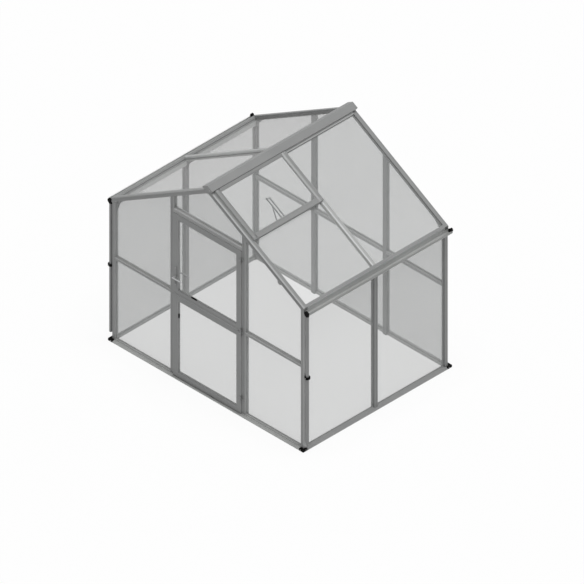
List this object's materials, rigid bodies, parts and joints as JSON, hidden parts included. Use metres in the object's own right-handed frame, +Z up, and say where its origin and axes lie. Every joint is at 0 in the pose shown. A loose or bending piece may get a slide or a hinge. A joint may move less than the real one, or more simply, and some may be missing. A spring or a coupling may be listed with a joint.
{
  "type": "glass greenhouse",
  "caption": "Small gable-roofed greenhouse of slotted aluminium bars and glass panes, with a split hinged door, a roof vent, gutters and downpipes.",
  "frame": {"origin": "on the ground at the middle of the base in plan", "axes": "+X across the gable towards the vent side, +Y from the door gable to the back gable, +Z up"},
  "size_m": [2.81, 2.111, 2.54],
  "materials": {
    "aluminium": "matt mill-finish aluminium extrusion",
    "glass": "clear single glass, faintly grey",
    "black_plastic": "black moulded plastic",
    "steel": "bright brushed steel"
  },
  "bodies": {
    "frame": {"front_sill": "aluminium", "back_sill": "aluminium", "side_sills": "aluminium", "corner_shoes": "black_plastic", "front_posts": "aluminium", "back_posts": "aluminium", "door_posts": "aluminium", "door_head": "aluminium", "front_rails": "aluminium", "back_mullions": "aluminium", "back_rails": "aluminium", "side_mullions": "aluminium", "eave_beams": "aluminium", "right_gutter": "aluminium", "left_gutter": "aluminium", "gutter_outlets": "black_plastic", "gutter_end_caps": "black_plastic", "downpipes": "aluminium", "pipe_clips": "black_plastic", "front_rafters": "aluminium", "back_rafters": "aluminium", "middle_rafters": "aluminium", "ridge_beam": "aluminium", "ridge_cap": "aluminium", "ridge_ends": "aluminium", "eave_gussets": "aluminium", "front_glass": "glass", "back_glass": "glass", "side_glass": "glass", "left_roof_glass": "glass", "right_roof_glass": "glass", "vent_sill": "aluminium", "vent_rails": "aluminium", "vent_stiles": "aluminium", "vent_glass": "glass", "vent_opener": "steel", "post_hinges": "steel"},
    "lower_leaf": {"lower_leaf_stiles": "aluminium", "lower_leaf_rails": "aluminium", "lower_leaf_glass": "glass", "lower_leaf_hinges": "steel", "lower_leaf_catch": "black_plastic"},
    "upper_leaf": {"upper_leaf_stiles": "aluminium", "upper_leaf_rails": "aluminium", "upper_leaf_glass": "glass", "upper_leaf_hinges": "steel", "upper_leaf_latch": "black_plastic", "handle_plates": "steel"},
    "lever": {"door_lever": "steel"}
  },
  "joints": [
    {"name": "lower_leaf_swing", "type": "hinge", "parent": "frame", "child": "lower_leaf", "pos_m": [0.473, -1.027, 0.5], "axis": [0, 0, 1], "range_deg": [0, 110]},
    {"name": "upper_leaf_swing", "type": "hinge", "parent": "frame", "child": "upper_leaf", "pos_m": [0.473, -1.027, 1.5], "axis": [0, 0, 1], "range_deg": [0, 110]},
    {"name": "lever_turn", "type": "hinge", "parent": "upper_leaf", "child": "lever", "pos_m": [-0.4385, -1.018, 1.23], "axis": [0, 1, 0], "range_deg": [0, 40], "stiffness_Nm_per_rad": 1, "springref_deg": -17.19}
  ]
}
